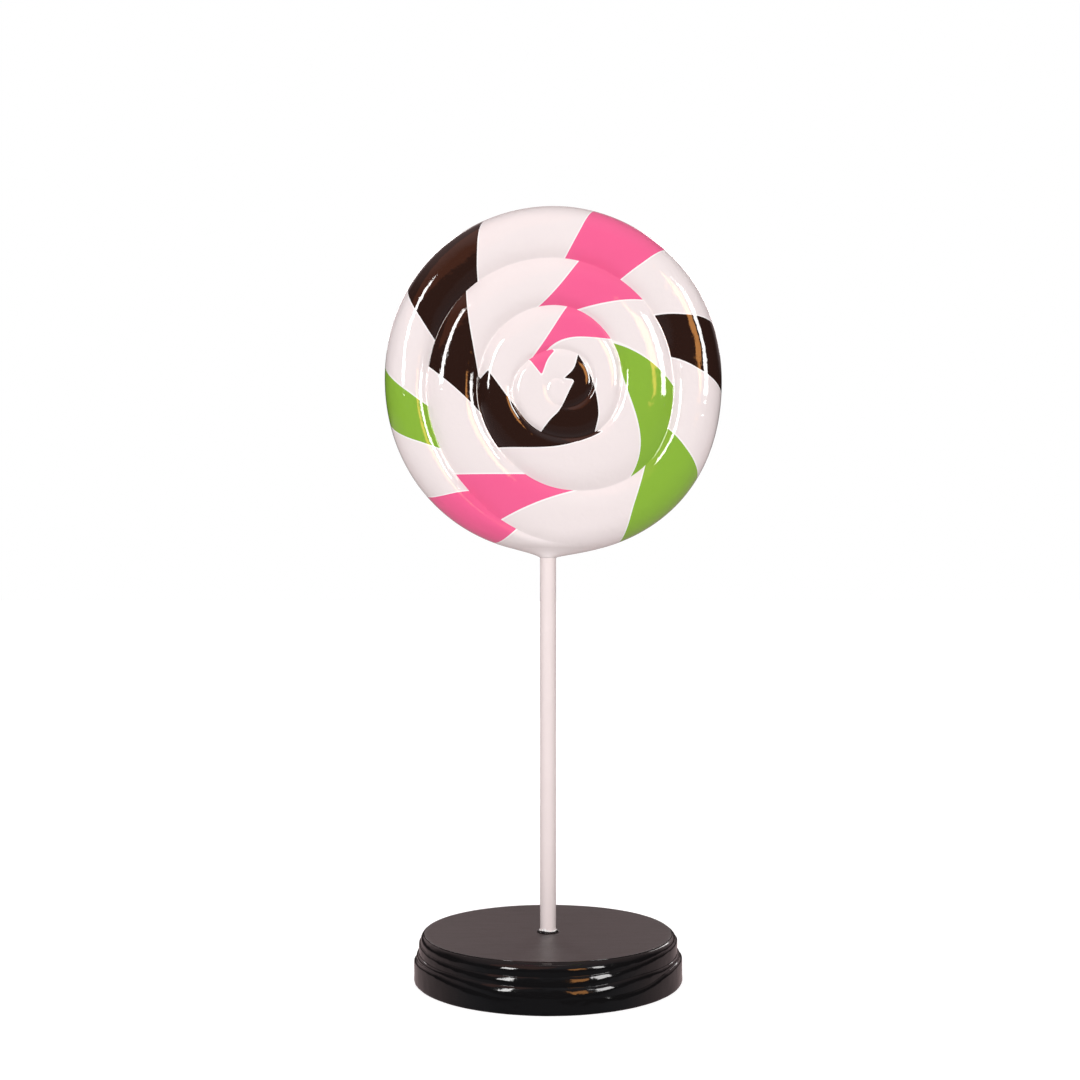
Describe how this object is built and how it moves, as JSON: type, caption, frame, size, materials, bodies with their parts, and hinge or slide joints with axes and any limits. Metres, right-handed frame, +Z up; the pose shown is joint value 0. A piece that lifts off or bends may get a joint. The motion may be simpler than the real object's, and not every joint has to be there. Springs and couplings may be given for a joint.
{
  "type": "swirl lollipop display prop",
  "caption": "Large glossy swirl lollipop disc, coiled like a rope of sugar with coloured stripes, on a slim round pole standing in a round stepped foot.",
  "frame": {"origin": "middle of the foot's underside, on the ground", "axes": "+Z up along the pole, -Y out of the disc's shown face, +X to the right of someone looking at that face"},
  "size_m": [0.3987, 0.317, 0.9132],
  "materials": {
    "swirl_paint": "gloss lacquer over white with pink, leaf green and chocolate brown stripes",
    "pole_paint": "semi-gloss white paint on a steel tube",
    "foot_paint": "gloss black side with a satin black top"
  },
  "bodies": {
    "root": {"swirl_disc": "swirl_paint", "pole": "pole_paint", "foot": "foot_paint"}
  },
  "joints": []
}
